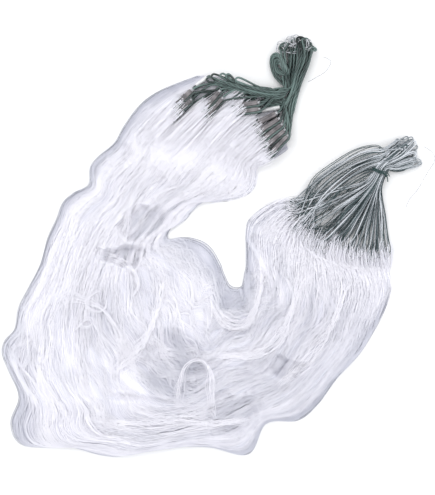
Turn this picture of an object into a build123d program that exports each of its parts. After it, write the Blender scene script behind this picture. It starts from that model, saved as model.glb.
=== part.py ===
from build123d import *
from math import atan2, cos, hypot, pi, radians, sin, tan
import os

# A gathered nylon fishing net, laid out in a C on a flat surface. All sizes are in millimetres.
# +Z is up, and Z = 0 is the surface that it lies on. The origin is the centre of its footprint.
# The lead line, with its rolled sinkers, is gathered in a hank at the +Y end of one arm. The head
# line is gathered in a tied fan at the +X end of the other arm.

# --- Netting: a soft pile, low round its edge, with a crest along the middle of the C
NET_EDGE = 7.0            # thickness round the edge
NET_CREST = 30.0          # height of the crest
CREST_FOOT = 0.06         # share of the pile's width where the crest starts to rise
CREST_SHOULDER = 0.34     # share of the pile's width where the crest is at its full height
HEAD_CLEARANCE = 1.5      # between the netting and the fan of head line

# --- Lead line and what is threaded on it
LEAD_LINE = 2.5           # diameter of the cord
SINKER_LENGTH = 23.0
SINKER_RADIUS = 3.25
SINKER_BORE_SLACK = 0.15  # between the cord and a sinker's bore
SEAM_WIDTH = 0.5          # slit that a rolled sinker's sheet leaves
SEAM_DEPTH = 0.9
SINKER_LIFT = 1.3         # height of the sinkers above the netting's edge
ROW_GAP = 1.1             # between sinkers side by side
LAYER_GAP = 0.4           # between one layer of sinkers and the next
KNOT_TWINE = 0.65         # thickness of the hitch of hanging twine beside a sinker
KNOT_TURNS = 4            # turns of twine in a hitch
KNOT_SLACK = 0.05         # between the cord and a hitch
KNOT_GAP = 0.2            # between a hitch and its sinker
SLEEVE_WALL = 0.9
SLEEVE_SLACK = 0.35       # between the cord and a sleeve
SLEEVE_LIFT = 0.4         # height of the sleeves above the netting's edge
LASHING_WIDTH = 0.9       # twine wound round the sinkers at the tip of the foot
LASHING_SLACK = 0.35
BAND_LIFT = 0.4           # height of the gathered lead line above the netting's edge

# --- Head line
FAN_EDGE = 12.0           # thickness of the fan where it meets the netting
FAN_NECK = 17.0           # thickness of the fan at the tie
LOOPS_HEIGHT = 15.0
BUNDLE_GAP = 0.3          # between the fan and the bundle inside the tie
NECK_HALF_WIDTH = 9.0     # bundle inside the tie
NECK_HALF_HEIGHT = 6.5
NECK_CENTRE_Z = 10.2
NECK_LENGTH = 8.0
TIE_CORD = 2.4            # thickness of the tie round the bundle
TIE_SLACK = 0.3           # between the tie and what it goes round
TIE_ROOM = 0.6            # between the tie and the cord on either side of it
HEAD_KNOT_RADIUS = 2.0
HEAD_KNOT_INSET = 4.5     # from the edge of the fan

# --- Loose ends of clear twine
TAIL = 0.6                # diameter
TAIL_CENTRE_Z = 0.4

# The netting's plan, as stations across the C: the point on its inner edge and the one on its
# outer edge, from the foot at the lead line to the head at the head line.
STATIONS = [
    ((66, 101), (-58, 190)), ((53, 94), (-79, 178)), ((52, 79), (-94, 163)),
    ((46, 66), (-108, 143)), ((32, 59), (-119, 124)), ((8, 55), (-139, 107)),
    ((-11, 54), (-148, 94)), ((-25, 42), (-150, 74)), ((-50, 22), (-181, 52)),
    ((-55, 12), (-188, 34)), ((-40, 10), (-208, -22)), ((-20, 8), (-234, -74)),
    ((-5, 0), (-251, -114)), ((1, -7), (-254, -130)), ((6, -16), (-246, -151)),
    ((10, -24), (-234, -182)), ((12, -31), (-244, -214)), ((16, -40), (-229, -240)),
    ((19, -46), (-174, -242)), ((23, -49), (-124, -253)), ((26, -50), (-66, -244)),
    ((29, -50), (-10, -241)), ((32, -50), (42, -251)), ((35, -48), (64, -214)),
    ((36, -44), (102, -210)), ((37, -40), (126, -191)), ((38, -34), (149, -160)),
    ((40, -24), (175, -132)), ((40, -12), (193, -104)), ((40, 1), (206, -79)),
    ((40, 14), (214, -56)), ((42, 29), (214, -42)), ((52, 40), (212, -32)),
]
FIRST_CREST, LAST_CREST = 2, 30   # stations between which the crest runs
FOOT_EDGE = [(84, 111), (91, 115), (92, 130), (86, 138), (84, 154), (82, 172), (81, 190),
             (71, 193), (38, 194), (14, 204), (-7, 205), (-24, 203)]
HEAD_EDGE = [(84, 55), (86, 37), (92, 13), (116, -5), (140, -13), (176, -19), (212, -24)]

# Bundles of cord, as sections along their length: centre x, centre y, half width, height
LEAD_BAND = [(-4, 197, 5, 8), (8, 197, 8, 11), (32, 191, 8, 12), (59, 184, 9, 12), (79, 179, 9, 12)]
LEAD_NECK = [(91, 139, 4, 9), (91, 154, 6, 11), (92, 172, 9, 13), (95, 190.6, 12, 14)]
LEAD_HANK = [(95, 191.4, 12, 15), (97, 204, 16, 20), (101, 221, 21, 24), (101, 235, 22, 22),
             (98, 244.5, 19, 18)]
LEAD_BIGHT = [(75, 197, 3.5, 8), (71.5, 206, 6.5, 10), (71.5, 221, 7, 10), (70.5, 230, 5.5, 9),
              (70.5, 232.5, 2.5, 6)]
END_LOOPS = [(98, 245, 18, 17), (97, 250, 16, 13), (96, 253, 10, 8)]

# Sinkers lie side by side in clusters. Each has the place of the first sinker's head, the angle
# of the first sinker, the angle by which the next one is turned, the way from head to head, the
# number of sinkers side by side and the number of layers. A sinker lies back from its head.
CLUSTERS = [
    ((74, 157.4), 28, 4.5, -63.7, 5, 2),
    ((52.5, 170.4), 8, 0, -81.8, 2, 2),
    ((6.8, 182.8), 50, 0, -68.2, 2, 2),
    ((-25.8, 184.6), 43, 0, -97.9, 2, 2),
]
LASHED_CLUSTER = 3
LASHING_PLACES = [-4.5, -1.5, 1.5, 4.5]   # along the lashed cluster, from its middle

# Sleeves: centre, angle, length
SLEEVES = {"sleeve_left": ((-14, 197), 37, 16), "sleeve_right": ((69, 164), 10, 22)}

# Head line's plan: the fan, past its edge with the netting, and the short loops past the tie
FAN_REST = [(214, -5), (214, 47), (211, 64), (214, 72), (207, 80), (190, 88), (187, 90),
            (192, 102), (197, 113), (200, 126), (188, 125), (164, 116), (144, 104), (108, 85)]
LOOPS = [(194, 96), (199, 113), (202, 128), (221, 131), (233, 134), (241, 126), (248, 119),
         (254, 108), (252, 98), (239, 91), (222, 88), (210, 87)]
TIE_CENTRE = (200, 88)
TIE_ANGLE = 63.4          # way that the head line runs through the tie, from +X
HEAD_KNOT_PLACES = [0.03, 0.11, 0.19, 0.27, 0.35, 0.43, 0.51, 0.59, 0.67, 0.75, 0.83, 0.91, 0.98]

LEAD_TAIL = [(115, 198), (128, 205), (137, 211), (143, 221), (140, 226), (133, 228)]
HEAD_TAIL = [(254, 120), (265, 115), (269, 103), (258, 88), (247, 67), (235, 55), (233, 47)]


def prism(points, height):
    """A plan of straight edges, as a solid standing on Z = 0."""
    return extrude(make_face(Polyline(*points, close=True)), height)


def between(a, b, share):
    return tuple(p + (q - p) * share for p, q in zip(a, b))


def netting():
    inner = [station[0] for station in STATIONS]
    outer = [station[1] for station in STATIONS]
    head = [(x - HEAD_CLEARANCE, y - HEAD_CLEARANCE) for x, y in HEAD_EDGE]
    pile = prism(outer + head[::-1] + inner[::-1] + FOOT_EDGE, NET_EDGE)

    def crest_outline(rows, share, z):
        near = [between(i, o, share) for i, o in rows]
        far = [between(i, o, 1 - share) for i, o in rows]
        return Wire.make_polygon([(x, y, z) for x, y in far + near[::-1]])

    low = STATIONS[FIRST_CREST:LAST_CREST + 1]
    high = list(low)
    high[0] = [between(p, q, 0.7) for p, q in zip(low[0], low[1])]
    high[-1] = [between(p, q, 0.7) for p, q in zip(low[-1], low[-2])]
    crest = Solid.make_loft([
        crest_outline(low, CREST_FOOT, NET_EDGE),
        crest_outline(high, CREST_SHOULDER, NET_CREST),
    ], ruled=True)
    return pile + crest


def bundle(sections, along, base=0.0):
    """A closed solid of the outer shape of gathered cord, lying on the height base."""
    across = (1, 0, 0) if along == "Y" else (0, 1, 0)
    normal = (0, 1, 0) if along == "Y" else (1, 0, 0)
    faces = [
        Plane(origin=(x, y, base + height / 2), x_dir=across, z_dir=normal) * Ellipse(half, height / 2)
        for x, y, half, height in sections
    ]
    return loft(faces, ruled=True)


def sinker():
    """A lead sheet rolled round the cord, lying along X, with its seam on top."""
    roll = fillet(Cylinder(SINKER_RADIUS, SINKER_LENGTH).edges(), 0.5)
    roll -= Cylinder(LEAD_LINE / 2 + SINKER_BORE_SLACK, SINKER_LENGTH)
    seam = Box(SEAM_DEPTH, SEAM_WIDTH, SINKER_LENGTH)
    roll -= Pos(SINKER_RADIUS - SEAM_DEPTH / 2, 0, 0) * seam
    return Rot(0, -90, 0) * roll


def heading(angle):
    return cos(radians(angle)), sin(radians(angle))


def ahead(point, angle, distance):
    """The point at a distance from another, the way that the angle points."""
    way = heading(angle)
    return point[0] + way[0] * distance, point[1] + way[1] * distance


def cluster_places(cluster):
    """The centre and angle of each sinker in one cluster."""
    head, angle, turn, way, rows, layers = cluster
    places = []
    for layer in range(layers):
        z = NET_EDGE + SINKER_LIFT + SINKER_RADIUS + layer * (2 * SINKER_RADIUS + LAYER_GAP)
        for row in range(rows):
            step = (2 * SINKER_RADIUS + ROW_GAP) / abs(sin(radians(way - angle)))
            row_angle = angle + turn * row
            centre = ahead(ahead(head, way, step * row), row_angle, -SINKER_LENGTH / 2)
            places.append(((*centre, z), row_angle))
    return places


def foot_knots(places):
    """The hitches on the lead line, one at each end of each sinker."""
    width = KNOT_TURNS * KNOT_TWINE
    knot = Cylinder(LEAD_LINE / 2 + KNOT_TWINE, width)
    knot = Rot(0, 90, 0) * (knot - Cylinder(LEAD_LINE / 2 + KNOT_SLACK, 2 * width))
    reach = SINKER_LENGTH / 2 + KNOT_GAP + width / 2
    return Compound(children=[
        Pos(*centre) * Rot(0, 0, angle) * Pos(side * reach, 0, 0) * knot
        for centre, angle in places for side in (-1, 1)
    ])


def tip_lashing():
    """Rings of twine round the sinkers at the tip of the foot."""
    places = cluster_places(CLUSTERS[LASHED_CLUSTER])
    angle = places[0][1]
    run, across = Vector(*heading(angle)), Vector(*heading(angle + 90))
    centres = [Vector(*centre) for centre, _ in places]
    sides = [centre.dot(across) for centre in centres]
    heights = [centre.Z for centre in centres]
    reach = 2 * (SINKER_RADIUS + LASHING_SLACK)
    width, height = max(sides) - min(sides) + reach, max(heights) - min(heights) + reach
    wall = 2 * LASHING_WIDTH
    ring = RectangleRounded(width + wall, height + wall, SINKER_RADIUS)
    ring -= RectangleRounded(width, height, SINKER_RADIUS - LASHING_WIDTH)
    middle = sum(centres, Vector()) / len(centres)
    rings = []
    for place in LASHING_PLACES:
        plane = Plane(origin=middle + run * (place - LASHING_WIDTH / 2), x_dir=across, z_dir=run)
        rings.append(extrude(plane * ring, LASHING_WIDTH))
    return Compound(children=rings)


def sleeve(centre, angle, length):
    bore = LEAD_LINE / 2 + SLEEVE_SLACK
    tube = Cylinder(bore + SLEEVE_WALL, length) - Cylinder(bore, length)
    z = NET_EDGE + SLEEVE_LIFT + bore + SLEEVE_WALL
    return Pos(centre[0], centre[1], z) * Rot(0, 0, angle) * Rot(0, 90, 0) * tube


def tie_plane(offset):
    """The plane across the head line at the tie, moved along the line by offset."""
    run, across = Vector(*heading(TIE_ANGLE)), Vector(*heading(TIE_ANGLE - 90))
    centre = Vector(*TIE_CENTRE, NECK_CENTRE_Z) + run * offset
    return Plane(origin=centre, x_dir=across, z_dir=run)


def tie_room():
    """The space that the fan and the loops leave for the tie."""
    length = TIE_CORD + 2 * TIE_ROOM
    width = 2 * (NECK_HALF_WIDTH + TIE_SLACK + TIE_CORD + TIE_ROOM)
    return extrude(tie_plane(-length / 2) * Rectangle(width, 4 * NECK_CENTRE_Z), length)


def head_line_neck(slack, length):
    """The bundle of head line inside the tie, with some slack round it."""
    section = Ellipse(NECK_HALF_WIDTH + slack, NECK_HALF_HEIGHT + slack)
    return extrude(tie_plane(-length / 2) * section, length)


def head_line_fan():
    """The fan, thin at the netting and thick at the tie."""
    low_y, high_y = min(y for _, y in HEAD_EDGE), max(y for _, y in FAN_REST)
    side = Polyline((low_y, 0), (high_y, 0), (high_y, FAN_NECK), (low_y, FAN_EDGE), close=True)
    far_x = 2 * max(x for x, _ in FAN_REST)
    wedge = extrude(Plane.YZ * make_face(side), far_x)
    fan = prism(HEAD_EDGE + FAN_REST, FAN_NECK) & wedge
    return fan - tie_room() - head_line_neck(BUNDLE_GAP, NECK_LENGTH + 2 * BUNDLE_GAP)


def head_line_loops():
    """The short loops past the tie, with the bundle that the tie holds."""
    return prism(LOOPS, LOOPS_HEIGHT) - tie_room() + head_line_neck(0, NECK_LENGTH)


def head_tie():
    """The cord tied round the head line, with its knot on top."""
    inner_width, inner_height = NECK_HALF_WIDTH + TIE_SLACK, NECK_HALF_HEIGHT + TIE_SLACK
    ring = Ellipse(inner_width + TIE_CORD, inner_height + TIE_CORD) - Ellipse(inner_width, inner_height)
    band = extrude(tie_plane(-TIE_CORD / 2) * ring, TIE_CORD)
    knot_z = NECK_CENTRE_Z + inner_height + TIE_CORD
    return band + Pos(*TIE_CENTRE, knot_z) * Cylinder(0.9 * TIE_CORD, TIE_CORD)


def head_knots():
    """The knots that hang the netting on the head line, along the edge of the fan."""
    edge = Polyline(*[(x - HEAD_KNOT_INSET, y - HEAD_KNOT_INSET) for x, y in HEAD_EDGE])
    z = NET_EDGE + HEAD_KNOT_RADIUS + KNOT_GAP
    points = [edge @ place for place in HEAD_KNOT_PLACES]
    return Compound(children=[Pos(p.X, p.Y, z) * Sphere(HEAD_KNOT_RADIUS) for p in points])


def tail(name, route):
    """A loose end of clear twine on the surface: straight runs joined by tangent arcs."""
    runs = [hypot(q[0] - p[0], q[1] - p[1]) for p, q in zip(route, route[1:])]
    ways = [atan2(q[1] - p[1], q[0] - p[0]) for p, q in zip(route, route[1:])]
    radii = []
    for k in range(len(runs) - 1):
        turn = abs((ways[k + 1] - ways[k] + radians(180)) % radians(360) - radians(180))
        radii.append(0.45 * min(runs[k], runs[k + 1]) / tan(turn / 2))
    path = FilletPolyline(*[(x, y, TAIL_CENTRE_Z) for x, y in route], radius=radii)
    start = Plane(origin=path @ 0, z_dir=path % 0)
    tube = sweep(start * Circle(TAIL / 2), path=path)
    print(name, "radii", [round(r, 1) for r in radii], "length", round(path.length, 1),
          "volume share", round(tube.volume / (path.length * pi * TAIL ** 2 / 4), 4))
    return tube


def build():
    parts = {
        "netting": netting(),
        "lead_line_band": bundle(LEAD_BAND, "X", NET_EDGE + BAND_LIFT),
        "lead_line_neck": bundle(LEAD_NECK, "Y"),
        "lead_line_hank": bundle(LEAD_HANK, "Y"),
        "lead_line_bight": bundle(LEAD_BIGHT, "Y"),
        "lead_end_loops": bundle(END_LOOPS, "Y"),
        "tip_lashing": tip_lashing(),
        "head_line_fan": head_line_fan(),
        "head_line_loops": head_line_loops(),
        "head_tie": head_tie(),
        "head_knots": head_knots(),
        "lead_tail": tail("lead_tail", LEAD_TAIL),
        "head_tail": tail("head_tail", HEAD_TAIL),
    }
    places = [place for cluster in CLUSTERS for place in cluster_places(cluster)]
    parts["foot_knots"] = foot_knots(places)
    roll = sinker()
    for number, (centre, angle) in enumerate(places, 1):
        parts[f"sinker_{number:02d}"] = Pos(*centre) * Rot(0, 0, angle) * roll
    for name, (centre, angle, length) in SLEEVES.items():
        parts[name] = sleeve(centre, angle, length)
    return parts


os.makedirs("parts", exist_ok=True)
for name, shape in build().items():
    export_step(shape, f"parts/{name}.step")
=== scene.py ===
"""A gathered fishing net: soft netting, a lead line with rolled sinkers, and a tied head line."""
import math

import bpy
import numpy as np
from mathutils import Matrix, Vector


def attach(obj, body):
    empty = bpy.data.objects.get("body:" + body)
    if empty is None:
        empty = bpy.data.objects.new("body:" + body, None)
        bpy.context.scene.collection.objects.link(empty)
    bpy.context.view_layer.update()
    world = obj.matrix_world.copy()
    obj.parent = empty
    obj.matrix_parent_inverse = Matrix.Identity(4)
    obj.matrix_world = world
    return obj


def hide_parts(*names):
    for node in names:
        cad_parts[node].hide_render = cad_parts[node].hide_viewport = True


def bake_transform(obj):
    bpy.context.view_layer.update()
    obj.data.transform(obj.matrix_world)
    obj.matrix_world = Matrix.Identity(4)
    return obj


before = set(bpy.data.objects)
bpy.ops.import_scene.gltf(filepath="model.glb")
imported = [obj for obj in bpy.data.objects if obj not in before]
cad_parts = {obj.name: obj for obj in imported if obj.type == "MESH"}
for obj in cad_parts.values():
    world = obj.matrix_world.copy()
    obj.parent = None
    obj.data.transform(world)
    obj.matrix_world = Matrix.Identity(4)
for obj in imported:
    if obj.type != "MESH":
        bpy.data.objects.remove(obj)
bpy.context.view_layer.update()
scene = bpy.context.scene
MM = 0.001

# Lengths from here on are in millimetres, until a mesh or a curve is made.
LEAD_LINE, HANGING_TWINE = 2.5, 0.65
PALE_LINE, GREEN_LINE = 1.5, 1.0          # the two cords of the head line
PALE_TURNS, GREEN_TURNS = 33, 44
LOOP_TWINE, END_TWINE = 0.9, 0.6          # the clear twine in the hank and at the loose ends
SINKER_LENGTH = 23.0
SINKER_COUNT, NECK_SINKERS = 22, 10       # the neck's sinkers come first
GOLDEN_ANGLE = 2.39996
# Plan of the netting: inner edge, middle and outer edge, from the lead line to the head line.
NETTING_PLAN = np.array([
    (90, 117, 54, 184, -18, 205), (84, 112, 36, 170, -24, 203), (66, 101, 11, 149, -58, 190),
    (53, 94, -10, 127, -79, 178), (52, 79, -28, 107, -94, 163), (46, 66, -42, 94, -108, 143),
    (32, 59, -54, 79, -119, 124), (8, 55, -67, 67, -139, 107), (-11, 54, -79, 55, -148, 94),
    (-25, 42, -91, 41, -150, 74), (-34, 31, -103, 26, -168, 64), (-50, 22, -115, 10, -181, 52),
    (-55, 12, -124, -7, -188, 34), (-52, 8, -131, -26, -199, 10), (-40, 10, -137, -47, -208, -22),
    (-29, 10, -140, -67, -222, -50), (-20, 8, -140, -89, -234, -74),
    (-12, 5, -136, -110, -239, -100), (-5, 0, -128, -130, -251, -114),
    (1, -7, -120, -146, -254, -130), (6, -16, -112, -161, -246, -151),
    (10, -24, -103, -174, -234, -182), (12, -31, -95, -185, -244, -214),
    (16, -40, -85, -193, -229, -240), (19, -46, -70, -199, -174, -242),
    (23, -49, -52, -202, -124, -253), (26, -50, -31, -199, -66, -244),
    (29, -50, -10, -192, -10, -241), (32, -50, 18, -180, 42, -251), (35, -48, 47, -166, 64, -214),
    (36, -44, 71, -151, 102, -210), (37, -40, 91, -134, 126, -191),
    (38, -34, 106, -115, 149, -160), (40, -24, 115, -96, 175, -132),
    (40, -12, 121, -77, 193, -104), (40, 1, 126, -61, 206, -79), (40, 14, 128, -47, 214, -56),
    (42, 29, 128, -34, 214, -42), (52, 40, 127, -23, 212, -32), (66, 49, 125, -14, 212, -28),
    (84, 56, 119, -6, 212, -24), (91, 50, 124, 10, 209, -10),
], float)

# Thin places in the pile: centre x, y, half length along x, y, how thin
THIN_PLACES = [
    (-84, 28, 24, 19, 1.0), (-104, -12, 24, 9, 1.0), (-46, -143, 32, 34, 0.85),
    (-42, 172, 34, 10, 0.5), (-78, 140, 10, 26, 0.45), (-112, 108, 14, 14, 0.45),
    (26, -200, 28, 20, 0.7), (-223, -137, 10, 26, 0.7), (-134, 96, 14, 14, 0.5),
    (-224, -213, 14, 20, 0.6), (92, -146, 18, 10, 0.5), (20, -64, 16, 10, 0.5),
]
# Folds that stand out as bright ridges, and creases that sink: x, y points, half width, rise
FOLDS = [
    ([(4, -60), (0, -85), (-6, -108), (-12, -134)], 9, 6),
    ([(-150, 40), (-165, 0), (-170, -40), (-178, -80)], 11, 5),
    ([(-30, 60), (-52, 88), (-80, 120), (-110, 132)], 10, 4),
    ([(2, -84), (20, -101), (42, -103), (56, -92)], 3.5, -5),
    ([(-2, -133), (30, -143), (62, -152), (100, -166)], 6, 4),
    ([(-40, -186), (-70, -184), (-100, -178), (-126, -180)], 4, -6),
    ([(-230, -170), (-205, -205), (-160, -222), (-100, -226)], 8, 3),
    ([(14, 108), (24, 130), (30, 150), (30, 166)], 16, 6),
    ([(-10, 120), (4, 140), (6, 160)], 10, 4),
    ([(-42, -186), (-39, -160), (-33, -140), (-12, -133), (-1, -152), (-5, -182)], 4.5, 3.5),
    ([(-140, 0), (-124, -11), (-100, -19), (-88, -35), (-85, -58)], 5, 4),
]

# Bundles of gathered line, as sections: centre x, centre y, half width, height, foot
BAND = [(-4, 197, 5, 8, 7.4), (8, 197, 7, 11, 7.4), (32, 190, 6.5, 12, 7.4), (59, 183, 7, 12, 7.4),
        (79, 182, 9, 12, 5)]
NECK = [(91, 139, 4, 9, 1), (91, 154, 6, 11, 1), (92, 172, 9, 13, 0.5), (95, 190.6, 12, 14, 0)]
HANK = [(97, 204, 15.5, 20, 0), (101, 221, 21.5, 24, 0), (101.5, 235, 23.5, 22, 0)]
BIGHT = [(80, 196, 8), (72, 206, 6), (68.5, 220, 5), (70, 229, 6), (76, 232, 9), (82, 225, 17),
         (87, 214, 22), (92, 203, 21)]
BIGHT_TURNS = [3, 5, 8, 10]

# Head line: the edge where it hangs the netting, the arch over the tie, and the tie
HEAD_EDGE = [(84, 55), (86, 37), (92, 13), (116, -5), (140, -13), (176, -19), (212, -24)]
TIE_CENTRE = np.array([200, 88, 10.2])
TIE_ANGLE = math.radians(63.4)
TIE_AXIS = np.array([math.cos(TIE_ANGLE), math.sin(TIE_ANGLE), 0])
TIE_ACROSS = np.array([TIE_AXIS[1], -TIE_AXIS[0], 0])
TIE_HALF_WIDTH, TIE_HALF_HEIGHT = 9.0, 6.5
OUTER_ARCH = [(203, 119), (195, 123), (172, 118), (144, 100), (112, 78)]
INNER_ARCH = [(202, 100), (192, 98), (174, 90), (150, 74), (126, 50)]
ARCHED_SHARE = 0.42                       # how much of the head line passes over the arch
SHORT_LOOPS = [(0, 45), (18, 53), (36, 58), (55, 53), (78, 43)]   # angle, reach

LEAD_TAIL = [(115, 198), (128, 205), (137, 211), (143, 221), (140, 226), (133, 228)]
HEAD_TAIL = [(254, 120), (265, 115), (269, 103), (258, 88), (247, 67), (235, 55), (233, 47)]
TAIL_HEIGHT = 0.4

# Lines for the two hanks, each from one end to the other
LEAD_BEND = ((76, 176, 14.5), (96, 206, 14.5))
HEAD_BEND = ((145.7, -29.3, 12.5), (150.6, 0.3, 12.5))

rng = np.random.default_rng(11)


# --- Numbers and lines

def smooth(x):
    x = np.clip(x, 0, 1)
    return x * x * (3 - 2 * x)


def unit(v):
    return v / np.maximum(np.linalg.norm(v, axis=-1, keepdims=True), 1e-9)


def soft_noise(seed, size=64):
    """A smooth field between -1 and 1 over two numbers."""
    grid = np.random.default_rng(seed).uniform(-1, 1, (size, size))

    def field(u, v):
        u, v = np.broadcast_arrays(np.asarray(u, float), np.asarray(v, float))
        i, j = np.floor(u).astype(int), np.floor(v).astype(int)
        f, g = smooth(u - i), smooth(v - j)
        i, j, i2, j2 = i % size, j % size, (i + 1) % size, (j + 1) % size
        low = grid[i, j] * (1 - f) + grid[i2, j] * f
        high = grid[i, j2] * (1 - f) + grid[i2, j2] * f
        return low * (1 - g) + high * g
    return field


def through_stations(table, s):
    """Smooth curve through the rows of a table."""
    last = len(table) - 1
    i = np.clip(np.floor(s).astype(int), 0, last - 1)
    f = (s - i)[..., None]
    p0, p1 = table[np.maximum(i - 1, 0)], table[i]
    p2, p3 = table[i + 1], table[np.minimum(i + 2, last)]
    return 0.5 * (2 * p1 + (p2 - p0) * f + (2 * p0 - 5 * p1 + 4 * p2 - p3) * f ** 2
                  + (3 * p1 - p0 - 3 * p2 + p3) * f ** 3)


def netting_place(s, t):
    """Place in the pile's plan: s runs along the C, t from its inner to its outer edge."""
    s, t = np.broadcast_arrays(s, t)
    row = through_stations(NETTING_PLAN, s)
    t = t[..., None]
    inner, middle, outer = row[..., 0:2], row[..., 2:4], row[..., 4:6]
    return (1 - t) * (1 - 2 * t) * inner + 4 * t * (1 - t) * middle + t * (2 * t - 1) * outer


def near_line(xy, line):
    """Distance from each place to a line of straight runs, and how far along it, from 0 to 1."""
    line = np.array(line, float)
    best = np.full(xy.shape[:-1], 1e9)
    along = np.zeros(xy.shape[:-1])
    for k, (p, q) in enumerate(zip(line, line[1:])):
        run = q - p
        f = np.clip(((xy - p) @ run) / (run @ run), 0, 1)
        d = np.linalg.norm(xy - p - f[..., None] * run, axis=-1)
        closer = d < best
        best = np.where(closer, d, best)
        along = np.where(closer, (k + f) / (len(line) - 1), along)
    return best, along


HILLS = soft_noise(3)


def raised(xy, z, low=0.3, high=29.6):
    """Places at their heights, which stay inside the pile."""
    return np.concatenate([xy, np.clip(z, low, high)[..., None]], -1)


def thinness(xy):
    """0 where the pile is thick, towards 1 in its thin places."""
    thin = np.zeros(xy.shape[:-1])
    u, v = xy[..., 0] * 0.8 + xy[..., 1] * 0.6, xy[..., 1] * 0.8 - xy[..., 0] * 0.6
    ragged = 5 * HILLS(u / 19 + 5, v / 19 + 5) + 3 * HILLS(v / 8, u / 8)
    for x, y, half_x, half_y, share in THIN_PLACES:
        far = (((xy[..., 0] - x + ragged) / half_x) ** 2
               + ((xy[..., 1] - y - ragged) / half_y) ** 2)
        thin = np.maximum(thin, share * smooth((2.1 - far) / 1.9))
    return thin


def pile_height(s, t, xy):
    """Height of the pile's upper surface."""
    head = smooth((s - 38) / 3)
    rim = 1.4 + (5.6 - 3.6 * head) * smooth(t / 0.12) * smooth((1 - t) / 0.12)
    body = smooth((t - 0.03) / 0.3) * smooth((0.97 - t) / 0.3)
    ends = smooth((s - 1.5) / 3.0) * smooth((39.8 - s) / 5)
    hills = 0.84 + 0.2 * HILLS(xy[..., 0] / 38 + 20, xy[..., 1] / 38 + 20)
    height = rim + 19.5 * body * ends * hills
    for line, half, rise in FOLDS:
        off, along = near_line(xy, line)
        bump = np.exp(-(off / half) ** 2) * smooth(along / 0.2) * smooth((1 - along) / 0.2)
        height = height + rise * bump * (0.25 + 0.75 * body)
    height = height * (1 - 0.55 * thinness(xy))
    near = (s < 8) & (xy[..., 1] > 90)
    if near.any():
        off = np.full(near.sum(), 99.0)
        for centre, way in sinker_axes:
            ends = centre[:2] + way[:2] * np.array([[-SINKER_LENGTH / 2], [SINKER_LENGTH / 2]])
            off = np.minimum(off, near_line(xy[near], ends)[0])
        height[near] = np.minimum(height[near], 6.6 + 1.1 * np.maximum(off - 4, 0))
    return np.clip(height, 0.9, 26.8)


# --- Meshes

def make_mesh(name, points, faces, material, body=None, attributes=None, rounded=True):
    """An object from points in millimetres and triangles."""
    mesh = bpy.data.meshes.new(name)
    mesh.vertices.add(len(points))
    mesh.vertices.foreach_set("co", (points * MM).astype(np.float32).ravel())
    mesh.loops.add(faces.size)
    mesh.loops.foreach_set("vertex_index", faces.astype(np.int32).ravel())
    mesh.polygons.add(len(faces))
    mesh.polygons.foreach_set("loop_start", np.arange(0, faces.size, 3, dtype=np.int32))
    mesh.update(calc_edges=True)
    mesh.polygons.foreach_set("use_smooth", np.full(len(faces), rounded))
    for key, values in (attributes or {}).items():
        kind = "FLOAT_VECTOR" if values.ndim == 2 else "FLOAT"
        attribute = mesh.attributes.new(key, kind, "POINT")
        attribute.data.foreach_set("vector" if values.ndim == 2 else "value",
                                   values.astype(np.float32).ravel())
    mesh.materials.append(material)
    piece = bpy.data.objects.new(name, mesh)
    scene.collection.objects.link(piece)
    if body:
        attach(piece, body)
    return piece


def distances(line):
    """How far along a line each of its points lies."""
    return np.r_[0, np.cumsum(np.linalg.norm(np.diff(line, axis=0), axis=1))]


def line_length(line):
    return float(distances(line)[-1])


def rings_round(paths, side, up, radius, turn):
    """Points and faces of rings round many lines at once, with their ends capped."""
    shape = (*paths.shape[:2], len(turn))
    radius = np.broadcast_to(radius, shape[:2])[..., None, None]
    rings = paths[:, :, None] + radius * (
        np.cos(turn)[:, None] * side[:, :, None] + np.sin(turn)[:, None] * up[:, :, None])
    index = np.arange(np.prod(shape)).reshape(shape)
    a, c = index[:, :-1], index[:, 1:]
    b, d = np.roll(a, -1, axis=2), np.roll(c, -1, axis=2)
    faces = [np.stack([a, d, b], -1).reshape(-1, 3), np.stack([a, c, d], -1).reshape(-1, 3)]
    for k in range(1, len(turn) - 1):
        faces += [index[:, 0, [0, k, k + 1]], index[:, -1, [0, k + 1, k]]]
    return rings.reshape(-1, 3), np.concatenate(faces)


def strand_mesh(paths, radius):
    """Points and faces of fine three-sided strands that lie nearly flat."""
    way = unit(np.gradient(paths, axis=1))
    side = unit(np.cross(way, (0, 0, 1)))
    turn = math.tau * np.arange(3) / 3 - math.pi / 2
    return rings_round(paths, side, np.cross(side, way), radius, turn)


def tube_mesh(path, radius, sides):
    """Points, faces and lay of a tube along one line. The lay says where a point is round it."""
    way = unit(np.gradient(path, axis=0))
    side = np.empty_like(path)
    side[0] = unit(np.cross(way[0], (0.3, 0.2, 1)))
    for k in range(1, len(path)):
        side[k] = unit(side[k - 1] - way[k] * (side[k - 1] @ way[k]))
    turn = math.tau * np.arange(sides) / sides
    points, faces = rings_round(path[None], side[None], np.cross(side, way)[None], radius, turn)
    lay = np.stack([np.tile(np.cos(turn), len(path)), np.tile(np.sin(turn), len(path)),
                    np.repeat(distances(path), sides)], -1)
    return points, faces, lay


def joined(parts):
    """One set of points, faces and values from several."""
    points, faces, values = zip(*parts)
    starts = np.cumsum([0] + [len(p) for p in points])
    faces = [f + start for f, start in zip(faces, starts)]
    return np.concatenate(points), np.concatenate(faces), np.concatenate(values)


def twine_piece(name, tubes, material, body=None):
    """An object from tubes of cord or twine."""
    points, faces, lay = joined(tubes)
    return make_mesh(name, points, faces, material, body, {"lay": lay})


def bends(piece, first, second, bend):
    """Bake a piece's place into its mesh."""
    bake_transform(piece)


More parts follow.
